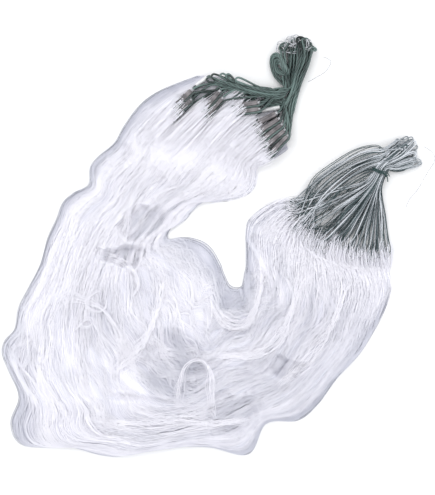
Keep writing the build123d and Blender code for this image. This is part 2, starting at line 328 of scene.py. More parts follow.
def spline_of(name, points, steps):
    """A smooth line, as a curve whose control points are these."""
    curve = bpy.data.curves.new(name, "CURVE")
    curve.dimensions = "3D"
    curve.resolution_u = steps
    spline = curve.splines.new("NURBS")
    spline.points.add(len(points) - 1)
    homogeneous = np.c_[np.array(points, float) * MM, np.ones(len(points))]
    spline.points.foreach_set("co", homogeneous.ravel())
    spline.order_u = 3
    spline.use_endpoint_u = True
    return curve


def line_through(points, steps=4):
    """The points of a smooth line, read from its spline."""
    curve = spline_of("line", points, steps)
    holder = bpy.data.objects.new("line", curve)
    mesh = bpy.data.meshes.new_from_object(holder)
    line = np.empty(len(mesh.vertices) * 3)
    mesh.vertices.foreach_get("co", line)
    bpy.data.objects.remove(holder)
    bpy.data.meshes.remove(mesh)
    bpy.data.curves.remove(curve)
    line = line.reshape(-1, 3) / MM
    return line[np.r_[True, np.linalg.norm(np.diff(line, axis=0), axis=1) > 0.05]]


# --- Materials

def linear(colour):
    """A colour from its red, green and blue out of 255, as a screen shows them."""
    shown = [c / 255 for c in colour]
    return (*(c / 12.92 if c <= 0.04045 else ((c + 0.055) / 1.055) ** 2.4 for c in shown), 1.0)


def fill(tree, node, inputs):
    """Give a node its inputs, each a value or another node's output."""
    for key, value in inputs.items():
        if isinstance(value, bpy.types.NodeSocket):
            tree.links.new(value, node.inputs[key])
        else:
            node.inputs[key].default_value = value
    return node


def add(tree, kind, inputs, **settings):
    node = tree.nodes.new(kind)
    for key, value in settings.items():
        setattr(node, key, value)
    return fill(tree, node, inputs)


def maths(tree, operation, *values):
    return add(tree, "ShaderNodeMath", dict(enumerate(values)), operation=operation).outputs[0]


def clamped(tree, value):
    return add(tree, "ShaderNodeClamp", {0: value}).outputs[0]


def mixed(tree, share, *colours):
    """A mix of two colours, each an output or red, green and blue out of 255."""
    first, second = (linear(c) if isinstance(c, tuple) else c for c in colours)
    return add(tree, "ShaderNodeMix", {0: share, 6: first, 7: second}, data_type="RGBA").outputs[2]


def group(name, inputs, outputs):
    """A node group from its inputs with their usual values, and the names of its outputs."""
    tree = bpy.data.node_groups.new(name, "ShaderNodeTree")
    for label, value in inputs:
        socket = tree.interface.new_socket(label, in_out="INPUT", socket_type="NodeSocketFloat")
        socket.default_value = value
    for label in outputs:
        tree.interface.new_socket(label, in_out="OUTPUT", socket_type="NodeSocketFloat")
    return tree, tree.nodes.new("NodeGroupInput").outputs, tree.nodes.new("NodeGroupOutput")


def twisted_lay():
    """Laid strands of a cord: a mask that is high on a strand and low between strands, for the
    bump, the painted shade between strands and the painted highlight on them.
    """
    tree, given, result = group("twisted_lay", [("Strands", 3.0), ("Pitch", 0.8)],
                                ["Strand", "Fuzz", "Age"])
    lay = add(tree, "ShaderNodeAttribute", {}, attribute_name="lay").outputs["Vector"]
    parts = add(tree, "ShaderNodeSeparateXYZ", {0: lay}).outputs
    turned = maths(tree, "MULTIPLY", maths(tree, "ARCTAN2", parts[1], parts[0]), given["Strands"])
    wave = maths(tree, "SINE", maths(tree, "ADD", turned,
                                     maths(tree, "MULTIPLY", parts[2], given["Pitch"])))
    place = add(tree, "ShaderNodeNewGeometry", {}).outputs["Position"]
    fuzz = add(tree, "ShaderNodeTexNoise", {"Vector": place, "Scale": 1400.0, "Detail": 3.0})
    # A slow change along the cord's length: painted highlight streaks along each leg.
    highlights_and_wear = add(tree, "ShaderNodeTexNoise",
              {"W": maths(tree, "MULTIPLY", parts[2], 0.013), "Scale": 1.0, "Detail": 2.0},
              noise_dimensions="1D")
    strand = maths(tree, "POWER", maths(tree, "MULTIPLY_ADD", wave, 0.5, 0.5), 0.6)
    fill(tree, result, {"Strand": strand, "Fuzz": fuzz.outputs[0], "Age": highlights_and_wear.outputs[0]})
    return tree


def worn_patches():
    """Dirt and wear that change slowly over a surface, and fine grain."""
    tree, given, result = group("worn_patches", [("Patch size", 40.0), ("Grain size", 900.0)],
                                ["Patches", "Grain"])
    place = add(tree, "ShaderNodeNewGeometry", {}).outputs["Position"]
    for label, scale, detail in (("Patches", "Patch size", 4.0), ("Grain", "Grain size", 2.0)):
        noise = add(tree, "ShaderNodeTexNoise",
                    {"Vector": place, "Scale": given[scale], "Detail": detail})
        fill(tree, result, {label: noise.outputs[0]})
    return tree


LAY = twisted_lay()
WORN = worn_patches()


def placed(tree, made, inputs):
    return add(tree, "ShaderNodeGroup", inputs, node_tree=made).outputs


def new_material(name, patch_size, grain_size):
    """A material, its nodes, and how worn and how grainy it is at each place."""
    material = bpy.data.materials.new(name)
    material.use_nodes = True
    worn = placed(material.node_tree, WORN, {"Patch size": patch_size, "Grain size": grain_size})
    return material, material.node_tree, worn["Patches"], worn["Grain"]


def wired(material, colour, roughness, bump=None, **others):
    """A material whose shader is connected. A bump is its strength, its depth and its height."""
    tree = material.node_tree
    inputs = {"Base Color": colour, "Roughness": roughness}
    if bump:
        heights = dict(zip(("Strength", "Distance", "Height"), bump))
        inputs["Normal"] = add(tree, "ShaderNodeBump", heights).outputs[0]
    inputs.update({key.replace("_", " "): value for key, value in others.items()})
    fill(tree, tree.nodes["Principled BSDF"], inputs)
    return material


def cord_material(name, dark, light, pitch, roughness, patch_size=30.0, highlight_and_wear_strength=1.3):
    """Laid cord: painted shade between its strands, a painted highlight on them, and painted
    highlight streaks and wear that change along its length.
    """
    material, tree, patches, _ = new_material(name, patch_size, 1500.0)
    lay = placed(tree, LAY, {"Pitch": pitch})
    # Painted highlight streaks along the cord, mixed with slow wear patches.
    highlights_and_wear = maths(tree, "MULTIPLY_ADD", lay["Age"], 0.75, maths(tree, "MULTIPLY", patches, 0.25))
    tone = maths(tree, "MULTIPLY_ADD", highlights_and_wear, highlight_and_wear_strength, 0.2 - highlight_and_wear_strength / 2)
    share = clamped(tree, maths(tree, "MULTIPLY", maths(tree, "ADD", lay["Strand"], tone), 0.62))
    height = maths(tree, "MULTIPLY_ADD", lay["Fuzz"], 0.25, lay["Strand"])
    return wired(material, mixed(tree, share, dark, light),
                 maths(tree, "MULTIPLY_ADD", lay["Fuzz"], 0.3, roughness - 0.15),
                 (0.6, 0.0003, height))


def netting_material(name, dull, bright, gap=None):
    """White nylon netting: painted bright where it is thick, painted shade, duller and cooler,
    where it is thin.
    """
    material, tree, patches, grain = new_material(name, 22.0, 700.0)
    painted_light = add(tree, "ShaderNodeAttribute", {}, attribute_name="painted_light").outputs["Fac"]
    share = maths(tree, "ADD", painted_light, maths(tree, "MULTIPLY_ADD", patches, 0.5, -0.25))
    colour = mixed(tree, clamped(tree, share), dull, bright)
    if gap:
        streak = add(tree, "ShaderNodeAttribute", {}, attribute_name="streak").outputs["Fac"]
        colour = mixed(tree, streak, gap, colour)
    return wired(material, colour, maths(tree, "MULTIPLY_ADD", grain, 0.25, 0.3),
                 (0.3, 0.0002, grain), Sheen_Weight=0.15)


def lead_material():
    """Dull rolled lead, paler where it has rubbed, with fine grain in its bump."""
    material, tree, patches, grain = new_material("rolled_lead", 110.0, 1200.0)
    share = clamped(tree, maths(tree, "MULTIPLY_ADD", patches, 2.4, -0.75))
    return wired(material, mixed(tree, share, (98, 95, 97), (160, 155, 157)),
                 maths(tree, "MULTIPLY_ADD", patches, -0.3, 0.72),
                 (0.7, 0.0005, maths(tree, "ADD", grain, patches)),
                 Metallic=maths(tree, "MULTIPLY_ADD", grain, 0.2, 0.2))


def sleeve_material():
    """Glossy white plastic sleeve, greyer in patches and scuffed."""
    material, tree, patches, grain = new_material("sleeve_plastic", 160.0, 1500.0)
    return wired(material, mixed(tree, patches, (196, 198, 200), (250, 250, 250)),
                 maths(tree, "MULTIPLY_ADD", grain, 0.2, 0.1), (0.5, 0.0006, patches),
                 Coat_Weight=0.5)


def clear_material(name, colour, clearness):
    """Clear nylon twine."""
    material, tree, patches, grain = new_material(name, 120.0, 1500.0)
    return wired(material, mixed(tree, patches, colour, (250, 250, 252)),
                 maths(tree, "MULTIPLY_ADD", grain, 0.1, 0.08),
                 Transmission_Weight=clearness, IOR=1.45)


# Each cord's first colour is painted shade between its strands, its second a painted highlight on
# them.
LEAD_GREEN = cord_material("lead_line_green", (14, 24, 25), (106, 127, 123), 0.9, 0.42, 60.0, 5.0)
HEAD_PALE = cord_material("head_line_pale", (66, 80, 86), (232, 236, 242), 1.3, 0.4, 55.0, 3.4)
HEAD_GREEN = cord_material("head_line_green", (16, 30, 33), (94, 112, 116), 1.9, 0.45, 50.0, 3.2)
LASHING_GREY = cord_material("lashing_grey", (70, 70, 72), (138, 138, 142), 3.0, 0.55)
TIE_GREEN = cord_material("tie_green", (18, 38, 40), (60, 88, 88), 1.6, 0.6)
TWINE_WHITE = cord_material("hanging_twine_white", (150, 154, 158), (240, 240, 244), 3.0, 0.5)
# The netting's colours are a painted-shade one and a lit one, mixed by the painted light on each
# point.
NET_WHITE = netting_material("netting_white", (204, 205, 216), (248, 247, 253))
# The netting's lower sheet: a darker copy of the white netting, painted shade under the strands.
NET_SHADED_SKIN = netting_material("netting_deep_shaded", (186, 188, 201), (244, 243, 250), gap=(222, 222, 232))
# The selvedge strands are grey: painted shade along the netting's edges.
NET_RIM_SHADE = netting_material("netting_selvedge_shaded", (136, 138, 150), (176, 178, 188))
CLEAR_LOOPS = clear_material("clear_twine_loops", (176, 181, 190), 0.3)
CLEAR_TAIL = clear_material("clear_twine_ends", (226, 228, 234), 0.6)


# --- Sinkers: where the lead line has to pass

def axis_of(node):
    """Centre and direction of a long CAD node, in millimetres, towards +X."""
    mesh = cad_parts[node].data
    points = np.empty(len(mesh.vertices) * 3)
    mesh.vertices.foreach_get("co", points)
    points = points.reshape(-1, 3) / MM
    centre = (points.min(0) + points.max(0)) / 2
    spread = points - points.mean(0)
    way = np.linalg.svd(spread, full_matrices=False)[2][0]
    way[2] = 0
    return centre, unit(way if way[0] > 0 else -way)


SINKERS = [f"sinker_{k + 1:02d}" for k in range(SINKER_COUNT)]
sinker_axes = [axis_of(name) for name in SINKERS]


def lanes(count):
    """Places of strands in a round bundle, in half widths, from its low side to its high side."""
    k = np.arange(count) + 0.5
    reach, turn = np.sqrt(k / count), k * GOLDEN_ANGLE
    places = np.c_[reach * np.cos(turn), reach * np.sin(turn)]
    return places[np.argsort(places[:, 0])]


def in_bundle(section, lane, across_x):
    """The place of a strand's lane in a section of a bundle of lead line."""
    x, y, half, height, foot = section
    side = (half - LEAD_LINE / 2) * lane[0]
    z = foot + height / 2 + (height - LEAD_LINE) / 2 * lane[1]
    return (x + side, y, z) if across_x else (x, y + side, z)


def lead_line_route():
    """The lead line, loop after loop: down the hank, through a sinker, and back beside it."""
    right = sorted(range(NECK_SINKERS), key=lambda k: sinker_axes[k][0][1])
    left = sorted(range(NECK_SINKERS, SINKER_COUNT), key=lambda k: -sinker_axes[k][0][0])
    order = left[::-1] + right[::-1]          # from the left of the hank to its right
    all_lanes = lanes(2 * len(order))
    band_lanes, neck_lanes = lanes(2 * len(left)), lanes(2 * len(right))
    half = SINKER_LENGTH / 2
    route = []

    def hank(leg, sections):
        return [in_bundle(section, all_lanes[leg] * 0.93 + rng.uniform(-0.09, 0.09, 2), True)
                for section in sections]

    def slack(leg):
        """A turn along the band and back, where the line between two sinkers is taken up."""
        far = 29 if leg % 5 == 0 else rng.uniform(-6, 20)
        out, back = rng.uniform(-0.7, 0.8, 2), rng.uniform(-0.7, 0.9, 2)
        going = [in_bundle(section, out, False) for section in BAND[::-1] if section[0] > far + 8]
        coming = [in_bundle(section, back, False) for section in BAND if section[0] > far + 8]
        y = np.interp(far, (-8, 8, 32), (198, 199, 195)) + rng.uniform(-1, 5)
        return going + [(far + 3, y - 3, 15), (far - 2, y - 1.5, 15.5), (far - 2, y + 2, 15.5),
                        (far + 3, y + 3.5, 15)] + coming

    def taken_up():
        """A turn of line laid in the corner between the band and the sinkers."""
        x, y, z = rng.uniform(52, 72), rng.uniform(164, 176), rng.uniform(5.5, 8)
        lean = rng.uniform(-0.4, 0.5)
        return [(86, y + 6, z), (x + 8, y + 2 + 8 * lean, z + 1), (x, y + 1.5, z),
                (x - 2.5, y - 1, z - 1), (x, y - 3, z), (x + 9, y - 2 + 8 * lean, z + 1),
                (86, y + 1, z)]

    def dropped(k):
        """A turn of line that hangs below the band, between the groups of sinkers."""
        x, y, lean = ((29, 180, -3), (3, 184, -6), (44, 177, -1))[k % 3]
        x, y = x + rng.uniform(-6, 6), y + rng.uniform(-3, 3)
        z = rng.uniform(8.5, 12)
        return [(x + 17, y + 10, z + 3), (x + 7, y + 3 - lean / 3, z + 1),
                (x - 4, y + lean / 3, z), (x - 8, y - 1 + lean / 2, z - 1),
                (x - 6, y - 4 + lean / 2, z - 1), (x + 4, y - 1, z), (x + 15, y + 6, z + 3)]

    def to_head(leg, sinker, join):
        """Points from the foot of the hank to a place beside a sinker's head."""
        foot = in_bundle(NECK[3], all_lanes[leg], True)
        if sinker in right:
            lane = neck_lanes[leg - 2 * len(left)]
            return [foot] + [in_bundle(section, lane, True) for section in NECK[2::-1]
                             if section[1] > join[1] + 9]
        lane = band_lanes[leg]
        corner = (88 + 3 * lane[1], 185 + 3 * lane[0], 10 + 4 * lane[1])
        return [foot, corner] + [in_bundle(section, lane, False) for section in BAND[::-1]
                                 if section[0] > join[0] + 9]

    for n, sinker in enumerate(order):
        down, back = 2 * n, 2 * n + 1
        centre, way = sinker_axes[sinker]
        upper = centre[2] > 15
        across = np.array([way[1], -way[0], 0])
        beside = across * 3.9 + np.array([0, 0, 2.5 if upper else -2.4])
        head = centre + way * half
        through = [centre + way * f for f in (half + 7, half + 1, half / 2, -half / 2, -half - 1,
                                              -half - 7)]
        sunk = np.array([0, 0, 1.0]) * (7.5 if upper else 3.0)
        tail_turn = [
            centre - way * (half + 9) - across * 2 - sunk * 0.7,
            centre - way * (half + 11) + across * 1 - sunk,
            centre - way * (half + 9) + across * 5 - sunk * 0.8,
            centre - way * (half + 3) + across * 5 + beside * (0, 0, 0.6)]
        returning = [centre + beside + way * f for f in (-half * 0.6, half * 0.6, half + 4)]
        if sinker == right[-1]:
            middle, run = axis_of("sleeve_right")
            returning = [middle + run * f for f in (-18, -13, 0, 13, 18)]
        if sinker == left[-1]:
            middle, run = axis_of("sleeve_left")
            returning += [middle + run * f for f in (-13, -9, 0, 9, 13)]
        route += hank(down, HANK[::-1]) if n not in BIGHT_TURNS else []
        route += to_head(down, sinker, head) + through + tail_turn + returning
        if sinker in left and sinker != left[-1] and centre[0] > 0:
            route += slack(back)
        if sinker in right[:-1]:
            route += taken_up()
        if sinker in left[:-1]:
            route += dropped(n)
        route += to_head(back, sinker, returning[-1])[::-1]
        if n + 1 in BIGHT_TURNS:
            turn = BIGHT_TURNS.index(n + 1)
            middle = np.array([79, 216, 0])
            for wide in (1.0 - 0.11 * turn, 0.52 - 0.11 * turn):
                for x, y, z in BIGHT:
                    away = np.array([x, y, 0]) - middle
                    route.append(middle + away * wide + (0, 0, z - 0.8 * (turn % 2)))
            continue
        route += hank(back, HANK)
        if n == len(order) - 1:
            break
        first = np.array(route[-1])
        second = np.array(in_bundle(HANK[2], all_lanes[down + 2], True))
        lane = all_lanes[back][0]
        top = 249 - 11 * lane * lane + rng.uniform(-5, 1)
        middle, spread = (first + second) / 2, (second - first) / 2
        if abs(spread[0]) < 4.4:
            spread[0] = math.copysign(4.4, spread[0])
        for f, rise in ((-1.1, top - 4), (-0.75, top), (0.75, top), (1.1, top - 4)):
            route.append((middle[0] + spread[0] * f, rise, middle[2] * 0.9 + spread[2] * f))
    return route


def bent_tube(name, route, diameter, material, sides, bend, bodies):
    """A line of cord as a tube."""
    path = line_through(route)
    piece = twine_piece(name, [tube_mesh(path, diameter / 2, sides)], material)
    bends(piece, *bodies, bend)
    return piece, path


def head_line_route(first_lane, places):
    """The head line, loop after loop: out to the netting's edge, back through the tie, round."""
    axis, across = TIE_AXIS, TIE_ACROSS
    edge = np.array(HEAD_EDGE, float)
    far = distances(edge)
    tie_lanes = lanes(4 * places)
    angles, reaches = zip(*SHORT_LOOPS)
    route, ends = [], []

    def in_tie(leg, f, wide=1.0):
        u, v = tie_lanes[leg]
        return TIE_CENTRE + across * u * 8 * wide + np.array([0, 0, v * 5.3]) + axis * f

    def fan_leg(leg, spot, arched):
        v = tie_lanes[leg][1]
        low = 1.6 + (v + 1) * 3.2
        high = 1.8 + (v + 1) * 5.6
        if arched:
            bold = np.clip(1.08 - spot[2] / 0.36 + rng.uniform(-0.35, 0.25), -0.6, 1.1)
            if first_lane:
                bold = rng.uniform(-1.3, 1.0)
            points = []
            for (x, y), (x2, y2), z in zip(OUTER_ARCH, INNER_ARCH, (12, 12, high, high, low + 2)):
                stray = rng.uniform(-2, 2, 2)
                points.append(np.array([x2 + (x - x2) * bold + stray[0],
                                        y2 + (y - y2) * bold + stray[1], z]))
            return points
        out = in_tie(leg, -9, 1.05)
        gone = in_tie(leg, -20, 1.5)
        lifted = rng.uniform(-0.2, 1) ** 2 * 30 * np.clip(1 - spot[2] / 0.5, 0, 1)
        bow = across * (6 * (1 - spot[2]) - lifted) + rng.uniform(-2.5, 2.5, 3) * (1, 1, 0)
        end = np.array([spot[0], spot[1], low])
        points = [out, gone * (1, 1, 0) + np.array([0, 0, high])]
        for f in (0.35, 0.62, 0.85):
            along = gone + (end - gone) * f
            sway = bow * math.sin(math.pi * f) + rng.uniform(-1.3, 1.3, 3) * (1, 1, 0.3)
            points.append(np.array([along[0], along[1], high + (low - high) * f]) + sway)
        return points

    for n in range(places):
        f = (n + 0.5) / places
        reach = f * far[-1] + rng.uniform(-1.5, 1.5)
        x, y = (np.interp(reach, far, edge[:, k]) for k in (0, 1))
        ahead = np.array([np.interp(reach + 3, far, edge[:, k]) for k in (0, 1)]) - (x, y)
        ahead = unit(ahead) if np.linalg.norm(ahead) > 1 else np.array([1.0, 0.0])
        inward = rng.uniform(-5, 15)
        x, y = x - ahead[1] * 4 - ahead[1] * inward, y + ahead[0] * 4 + ahead[0] * inward
        down, back = 4 * n + first_lane, 4 * n + first_lane + 2
        spot = (x, y, f)
        arched = 1 <= n <= places * ARCHED_SHARE
        if not arched:
            route += [in_tie(down, 8), in_tie(down, 0)]
        leg = fan_leg(down, spot, arched)
        route += leg
        z = leg[-1][2]
        away = np.array([ahead[1], -ahead[0]])
        for side, out in ((-2.6, -4), (-2.4, 0.5), (0, 3.0), (2.4, 0.5), (2.6, -4)):
            place = np.array([x, y]) + ahead * side + away * out
            route.append(np.array([place[0], place[1], max(1.3, z - 0.6)]))
        ends.append((route[-3], math.atan2(ahead[1], ahead[0])))
        over = arched and first_lane and n % 4
        route += fan_leg(back, spot, over)[::-1]
        if not over:
            route += [in_tie(back, 0), in_tie(back, 8)]
        if n == places - 1:
            break
        next_arched = 1 <= n + 1 <= places * ARCHED_SHARE
        angle = math.radians((60 if next_arched else 84 - 84 * f) + rng.uniform(-20, 9))
        angle = max(angle, math.radians(rng.uniform(13, 30)))
        reach = np.interp(math.degrees(angle), angles, reaches) * rng.uniform(0.74, 1.05)
        reach *= 0.8 if first_lane else 1
        run = np.array([math.cos(angle), math.sin(angle), 0])
        beside = np.array([run[1], -run[0], 0])
        height = rng.uniform(1.5, 10)
        wide = rng.uniform(2.2, 4.2)
        base = TIE_CENTRE * (1, 1, 0)
        turns = ((0.5, -0.9), (0.8, -1.25), (1.0, -0.8), (1.0, 0.8), (0.8, 1.25), (0.5, 0.9))
        if next_arched:
            beside = -beside
        for far_out, side in turns:
            if next_arched and side > 1:
                break
            z = 9 + (height - 9) * min(1, far_out * 1.1)
            route.append(base + run * reach * far_out + beside * wide * side + (0, 0, z))
    return route, ends


def camera():
    data = bpy.data.cameras.new("camera")
    data.lens, data.sensor_width = 85, 36
    eye = bpy.data.objects.new("camera", data)
    eye.location = (0.0054, -0.0018, 1.41)
    scene.collection.objects.link(eye)
    scene.camera = eye


def studio():
    """A plain pale floor, and soft light from all round with a little more from above."""
    points = 3000.0 * np.array([(-1, -1, 0), (1, -1, 0), (1, 1, 0), (-1, 1, 0)])
    material = bpy.data.materials.new("floor_pale")
    material.use_nodes = True
    shader = material.node_tree.nodes["Principled BSDF"]
    fill(material.node_tree, shader, {"Base Color": (0.93, 0.93, 0.93, 1), "Roughness": 0.9})
    floor = make_mesh("floor", points, np.array([(0, 1, 2), (0, 2, 3)]), material)
    world = bpy.data.worlds.new("studio")
    world.use_nodes = True
    fill(world.node_tree, world.node_tree.nodes["Background"], {0: (0.97, 0.98, 1.0, 1), 1: 1.0})
    scene.world = world
    for name, place, size, power in (("light_above", (-0.5, 0.7, 1.9), 1.3, 12),
                                     ("light_side", (1.2, -0.6, 1.4), 1.2, 5)):
        data = bpy.data.lights.new(name, "AREA")
        data.size, data.energy = size, power
        lamp = bpy.data.objects.new(name, data)
        lamp.location = place
        lamp.rotation_euler = (-Vector(place)).to_track_quat("-Z", "Y").to_euler()
        scene.collection.objects.link(lamp)
    scene.view_settings.view_transform = "Standard"


camera()
studio()

# --- Lead line

lead_line, lead_path = bent_tube("lead_line", lead_line_route(), LEAD_LINE, LEAD_GREEN, 8,
                                 LEAD_BEND, ("net", "lead_hank"))
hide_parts("lead_line_band", "lead_line_neck", "lead_line_hank", "lead_line_bight")

# --- Head line

loop_ends = []
for name, first_lane, thick, material, places in (
        ("head_line_cord", 0, PALE_LINE, HEAD_PALE, PALE_TURNS),
        ("head_line_thin", 1, GREEN_LINE, HEAD_GREEN, GREEN_TURNS)):
    route, ends = head_line_route(first_lane, places)
    piece, path = bent_tube(name, route, thick, material, 6, HEAD_BEND, ("net", "head_hank"))
    if first_lane == 0:
        loop_ends = ends
        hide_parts("head_line_fan", "head_line_loops")

# --- Hitches, lashing, knots, the tie and the clear twine in the hank

def winding(centre, way, radius, turns, pitch, start):
    """Places of a twine wound round an axis."""
    side = unit(np.cross(way, (0, 0, 1)))
    up = np.cross(side, way)
    turn = np.linspace(0, math.tau * turns, int(12 * turns) + 1)
    along = pitch * (turn / math.tau - turns / 2)
    return (centre + along[:, None] * way
            + radius * (np.cos(turn + start)[:, None] * side + np.sin(turn + start)[:, None] * up))


def foot_hitches():
    """Hitches on the lead line at both ends of each sinker, with their loose ends."""
    tubes = []
    for k, (centre, way) in enumerate(sinker_axes):
        for side in (-1, 1):
            middle = centre + way * side * (SINKER_LENGTH / 2 + 1.6)
            coil = winding(middle, way, (LEAD_LINE + HANGING_TWINE) / 2, 4, HANGING_TWINE, k)
            tubes.append(tube_mesh(coil, HANGING_TWINE / 2, 5))
            for _ in range(3):
                x, y = rng.uniform(-11, 11, 2)
                rise = rng.uniform(-1, 4)
                low = max(-centre[2] + 6, -7)
                hanging = [coil[-1] + step for step in (
                    (0, 0, 0), (x * 0.3, y * 0.3, rise), (x * 0.8, y * 0.8, low * 0.4),
                    (x - 3, y - 3, low))]
                tubes.append(tube_mesh(line_through(hanging), 0.22, 4))
    return twine_piece("foot_hitches", tubes, TWINE_WHITE, "net")


def tip_lashing():
    """Twine that crosses round the sinkers at the tip of the foot."""
    axes = sinker_axes[-4:]
    way = axes[0][1]
    across = np.array([way[1], -way[0], 0])
    centres = np.array([centre for centre, _ in axes])
    sides = centres @ across
    low_side, high_side = sides.min() - 4.0, sides.max() + 5.8
    low, high = centres[:, 2].min() - 4.0, centres[:, 2].max() + 4.2
    middle = centres.mean(0)
    middle = middle + across * ((low_side + high_side) / 2 - middle @ across)
    turn = np.linspace(0, math.tau * 4.5, 190)
    tubes = []
    for lean, shift in ((1, 0.0), (-1, 0.4)):
        x, y = np.cos(turn + shift), np.sin(turn + shift)
        squarer = 1 / np.maximum((np.abs(x) ** 4 + np.abs(y) ** 4) ** 0.25, 0.3)
        along = lean * (turn / math.tau - 2.25) * 3.4
        path = (middle + along[:, None] * way
                + (x * squarer * (high_side - low_side) / 2)[:, None] * across
                + (y * squarer)[:, None] * np.array([0, 0, (high - low) / 2]))
        tubes.append(tube_mesh(path, HANGING_TWINE / 2, 5))
    return twine_piece("tip_lashing_twine", tubes, LASHING_GREY, "net")


def head_line_knots():
    """The knots that hang the netting at each turn of the head line."""
    turn = np.linspace(0, math.tau, 26)
    tubes = []
    for place, angle in loop_ends:
        size = rng.uniform(0.42, 0.6)
        knot = np.stack([np.sin(turn) + 2 * np.sin(2 * turn), np.cos(turn) - 2 * np.cos(2 * turn),
                         -1.3 * np.sin(3 * turn)], -1) * size
        c, d = math.cos(angle), math.sin(angle)
        knot = knot @ np.array([[c, d, 0], [-d, c, 0], [0, 0, 1]]) + place + (0, 0, 0.5)
        tubes.append(tube_mesh(knot, 0.42, 5))
    piece = twine_piece("head_line_knots", tubes, TWINE_WHITE)
    bends(piece, "net", "head_hank", HEAD_BEND)
    return piece


def head_tie():
    """A short cord wound round the head line, with its knot and its two ends."""
    up = np.array([0, 0, 1.0])
    turn = np.linspace(0, math.tau * 2.6, 60) + math.pi / 2
    ring = (TIE_CENTRE + ((turn - turn[0]) / math.tau - 1.3)[:, None] * 1.3 * TIE_AXIS
            + (np.cos(turn) * (TIE_HALF_WIDTH + 0.8))[:, None] * TIE_ACROSS
            + (np.sin(turn) * (TIE_HALF_HEIGHT + 0.8))[:, None] * up)
    top = TIE_CENTRE + up * (TIE_HALF_HEIGHT + 2)
    tubes = [tube_mesh(ring, 0.62, 7)]
    for radius, route in (
            (0.62, [(-2, -1, 0), (-1, 1.6, 0.6), (1.4, 1.2, 1.2), (1.4, -1.4, 1.2),
                    (-1.2, -1.4, 1.6), (-1.4, 1.2, 0.4), (1, 3, 0), (0, 7, -0.6), (-3, 11, -3),
                    (-6, 13, -6)]),
            (0.6, [(0, 0, 0.4), (1.6, 2, 1), (3, 5, -0.5), (3, 9, -4), (1, 12, -8)])):
        route = [top + TIE_AXIS * x + TIE_ACROSS * y + up * z for x, y, z in route]
        tubes.append(tube_mesh(line_through(route, 6), radius, 7))
    return twine_piece("head_line_tie", tubes, TIE_GREEN, "head_hank")


def clear_loops():
    """Clear twine that runs beside the lead line and loops out of the end of the hank."""
    route = []
    for k in range(19):
        x = 99 + 20 * math.sin(k * 2.4) * (0.7 + 0.3 * math.cos(k * 1.3))
        wide = rng.uniform(2.6, 5)
        z = 3 + 11 * (0.5 + 0.5 * math.sin(k * 1.9))
        top = 252.5 - 0.022 * (x - 99) ** 2 + rng.uniform(-3, 0)
        foot = top - rng.uniform(9, 17)
        for side, y, lift in ((-0.8, foot, 3), (-1.1, top - 7, 1), (-0.8, top, 0), (0.8, top, 0),
                              (1.1, top - 7, 1), (0.8, foot, 3)):
            route.append((x + side * wide, y, z + lift))
    path = line_through(route, 5)
    tube = tube_mesh(path, LOOP_TWINE / 2, 6)
    return twine_piece("clear_twine_loops", [tube], CLEAR_LOOPS, "lead_hank"), path


for make, node, slot in ((foot_hitches, "foot_knots", "hanging_twine"),
                         (tip_lashing, "tip_lashing", "hanging_twine"),
                         (head_line_knots, "head_knots", "hanging_twine"),
                         (head_tie, "head_tie", "tie")):
    piece = make()
    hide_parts(node)
loops, loops_path = clear_loops()
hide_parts("lead_end_loops")

for names, material in ((SINKERS, lead_material()),
                        (("sleeve_left", "sleeve_right"), sleeve_material())):
    for name in names:
        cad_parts[name].data.materials.clear()
        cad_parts[name].data.materials.append(material)

# --- Netting

HEAD_WAY = unit(np.array(HEAD_BEND[1][:2]) - HEAD_BEND[0][:2])
STEPS, WISP_STEPS, FUZZ_STEPS = 300, 60, 44      # points along each strand
SKIN_ROWS, SKIN_COLUMNS = 420, 130
BEND_FROM = 27                                   # no netting before this station goes into the head line's pieces
BEND_MARGIN = 1.0                                # netting this near the line goes into them too


def even_stations(count):
    """Stations spaced evenly along the middle of the netting, and its length."""
    s = np.linspace(0, len(NETTING_PLAN) - 1, 2000)
    far = distances(netting_place(s, np.full(2000, 0.5)))
    return np.interp(np.linspace(0, far[-1], count), far, s), far[-1]


def lifts(points, stations):
    """Where netting is so near the head line that it is put in pieces of its own."""
    off = (points[..., :2] - np.array(HEAD_BEND[0][:2])) @ HEAD_WAY
    return (off + BEND_MARGIN > 0) & (stations > BEND_FROM)


def netting_piece(name, paths, radius, stations, material, painted_light, per_piece=100):
    """Strands as pieces of so many strands each, with the runs near the head line in pieces of
    their own. Strands as pieces small enough to keep.
    """
    made, steps = [], paths.shape[1]
    radius, painted_light = (np.broadcast_to(value, paths.shape[:2]) for value in (radius, painted_light))
    beyond = lifts(paths, np.broadcast_to(stations, paths.shape[:2]))
    first = np.maximum(np.where(beyond.any(1), beyond.argmax(1), steps), 1)
    lying = [(k, 0, min(f + 1, steps)) for k, f in enumerate(first)]
    lifted = [(k, f, steps) for k, f in enumerate(first) if f < steps - 2]
    for where, runs, step in (("net", lying, per_piece), ("head", lifted, 6 * per_piece)):
        for start in range(0, len(runs), step):
            parts = []
            for k, low, high in runs[start:start + step]:
                if high - low >= 3:
                    points, faces = strand_mesh(paths[k:k + 1, low:high],
                                                radius[k:k + 1, low:high])
                    parts.append((points, faces, np.repeat(painted_light[k, low:high], 3)))
            points, faces, shades = joined(parts)
            piece = make_mesh(f"{name}_{where}_{start // step + 1}", points, faces, material,
                              "net" if where == "net" else None, {"painted_light": shades}, rounded=False)
            if where == "head":
                bends(piece, "net", "head_hank", HEAD_BEND)
            made.append(piece)
    return made


STREAK_NOISE, FINE_STREAK_NOISE = soft_noise(31), soft_noise(32)


